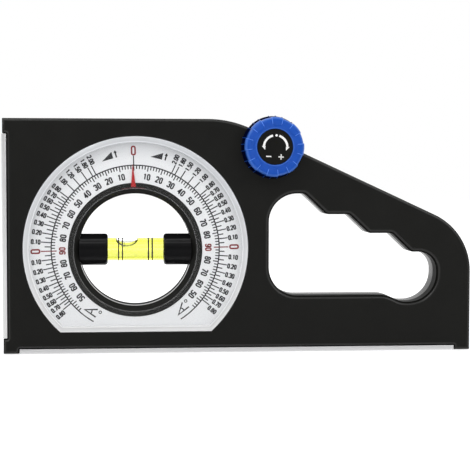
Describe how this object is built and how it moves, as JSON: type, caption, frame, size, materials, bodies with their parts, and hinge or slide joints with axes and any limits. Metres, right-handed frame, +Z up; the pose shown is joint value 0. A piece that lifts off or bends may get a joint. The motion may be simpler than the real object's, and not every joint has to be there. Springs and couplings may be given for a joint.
{
  "type": "inclinometer",
  "caption": "Flat angle and slope finder with a printed dial, a level vial in a geared sight ring, a turning knob, two edge rails and a stepped hand grip.",
  "frame": {"origin": "on the resting plane, the base rail's measuring face, below the middle of the overall box", "axes": "+X along the length, from the side rail to the hand grip; +Y from the dial's face to the back; +Z up from the base rail"},
  "size_m": [0.2006, 0.0272, 0.1012],
  "materials": {
    "housing_black": "fine moulded grain, satin black",
    "ring_black": "smooth semi-gloss black",
    "rail_aluminium": "fine satin, drawn lengthwise",
    "screw_steel": "zinc-plated",
    "dial_print": "satin white with a dark scale print",
    "cover_clear": "clear, polished",
    "pointer_red": "smooth",
    "vial_clear": "clear, polished",
    "vial_liquid": "clear yellow-green liquid",
    "gear_nylon": "natural nylon",
    "bush_brass": "turned",
    "knob_blue": "semi-gloss blue",
    "cap_black": "satin black with a white printed sign"
  },
  "bodies": {
    "housing": {"front_shell": "housing_black", "rear_shell": "housing_black", "base_rail": "rail_aluminium", "side_rail": "rail_aluminium", "housing_screw_1": "screw_steel", "housing_screw_2": "screw_steel", "housing_screw_3": "screw_steel", "housing_screw_4": "screw_steel", "housing_screw_5": "screw_steel", "housing_screw_6": "screw_steel", "housing_screw_7": "screw_steel", "dial_plate": "dial_print", "dial_cover": "cover_clear", "idler_pin": "screw_steel", "idler_washer": "screw_steel", "front_bush": "bush_brass", "rear_bush": "bush_brass", "spring_washer": "screw_steel"},
    "rotor": {"sight_ring": "ring_black", "ring_gear": "ring_black", "ring_screw_1": "screw_steel", "ring_screw_2": "screw_steel", "ring_screw_3": "screw_steel", "ring_screw_4": "screw_steel", "pointer": "pointer_red", "vial_socket_right": "ring_black", "vial_socket_left": "ring_black", "vial_tube": "vial_clear", "vial_liquid": "vial_liquid", "vial_plug_left": "gear_nylon", "vial_plug_right": "gear_nylon"},
    "idler": {"idler_gear": "gear_nylon"},
    "knob_drive": {"knob": "knob_blue", "knob_cap": "cap_black", "knob_screw": "screw_steel", "drive_shaft": "screw_steel", "drive_pinion": "gear_nylon", "shaft_clip": "screw_steel"}
  },
  "joints": [
    {"name": "rotor_turn", "type": "hinge", "parent": "housing", "child": "rotor", "pos_m": [-0.04446, 0.00558, 0.04401], "axis": [0, 1, 0], "range_deg": [-150, 150]},
    {"name": "idler_turn", "type": "hinge", "parent": "housing", "child": "idler", "pos_m": [-0.00539, 0.00558, 0.0768], "axis": [0, 1, 0], "range_deg": [-361, 361]},
    {"name": "knob_turn", "type": "hinge", "parent": "housing", "child": "knob_drive", "pos_m": [0.01374, 0.00558, 0.08767], "axis": [0, 1, 0], "range_deg": [-772, 772]}
  ],
  "couplings": [
    {"joint": "idler_turn", "follows": "rotor_turn", "ratio": -2.4},
    {"joint": "knob_turn", "follows": "rotor_turn", "ratio": 5.1429}
  ]
}
